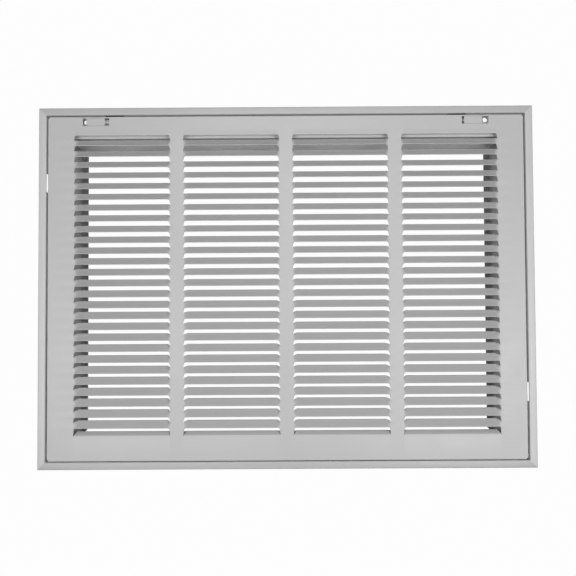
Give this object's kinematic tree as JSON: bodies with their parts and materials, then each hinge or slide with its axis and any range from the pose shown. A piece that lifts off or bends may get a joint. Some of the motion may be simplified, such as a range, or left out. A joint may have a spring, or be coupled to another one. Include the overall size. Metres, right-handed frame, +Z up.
{
  "type": "return air filter grille",
  "caption": "Wall-mounted return air filter grille: mitred sheet-steel frame with a collar, and a louvred door hinged at its foot with sliding latches.",
  "frame": {"origin": "centre of the whole grille's bounding box", "axes": "+X across the grille to the viewer's right, +Y into the wall, +Z up; the louvred face looks along -Y"},
  "size_m": [0.5652, 0.06, 0.4128],
  "materials": {
    "frame_paint": "satin light grey powder coat",
    "door_paint": "satin light grey powder coat",
    "inner_paint": "satin light grey powder coat",
    "zinc": "zinc plated"
  },
  "bodies": {
    "frame": {"top_rail": "frame_paint", "bottom_rail": "frame_paint", "left_rail": "frame_paint", "right_rail": "frame_paint", "corner_key_top_left": "inner_paint", "corner_key_top_right": "inner_paint", "corner_key_bottom_left": "inner_paint", "corner_key_bottom_right": "inner_paint", "latch_keeper_left": "inner_paint", "latch_keeper_right": "inner_paint"},
    "door": {"door_panel": "door_paint", "latch_guide_left": "inner_paint", "latch_guide_right": "inner_paint", "hinge_pin_left": "zinc", "hinge_pin_right": "zinc"},
    "latch_left": {"latch_slide_left": "door_paint"},
    "latch_right": {"latch_slide_right": "door_paint"}
  },
  "joints": [
    {"name": "door_hinge", "type": "hinge", "parent": "frame", "child": "door", "pos_m": [0, -0.0253, -0.1921], "axis": [1, 0, 0], "range_deg": [0, 105]},
    {"name": "latch_left_slide", "type": "slide", "parent": "door", "child": "latch_left", "axis": [1, 0, 0], "range_m": [-0.0036, 0.005]},
    {"name": "latch_right_slide", "type": "slide", "parent": "door", "child": "latch_right", "axis": [-1, 0, 0], "range_m": [-0.0063, 0.0023]}
  ]
}
